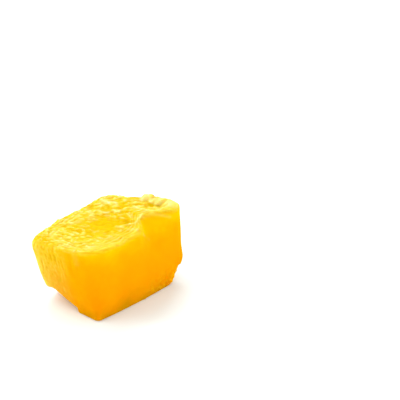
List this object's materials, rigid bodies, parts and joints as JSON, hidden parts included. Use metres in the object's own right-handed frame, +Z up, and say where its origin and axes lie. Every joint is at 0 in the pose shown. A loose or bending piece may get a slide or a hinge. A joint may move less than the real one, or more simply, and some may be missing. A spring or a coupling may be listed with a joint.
{
  "type": "mango piece",
  "caption": "Chunk of peeled ripe mango flesh, knife-cut in front and torn on top, that rests on its flat foot.",
  "frame": {"origin": "middle of the bounding box in plan, at the flat foot that rests on the table", "axes": "+X along the piece towards its rounded end, +Y from the knife-cut front to the back, +Z up"},
  "size_m": [0.044, 0.0254, 0.0277],
  "materials": {
    "mango_flesh": "wet, translucent ripe mango flesh, orange low down and yellow where it is thin or torn"
  },
  "bodies": {
    "root": {"mango_piece": "mango_flesh"}
  },
  "joints": []
}
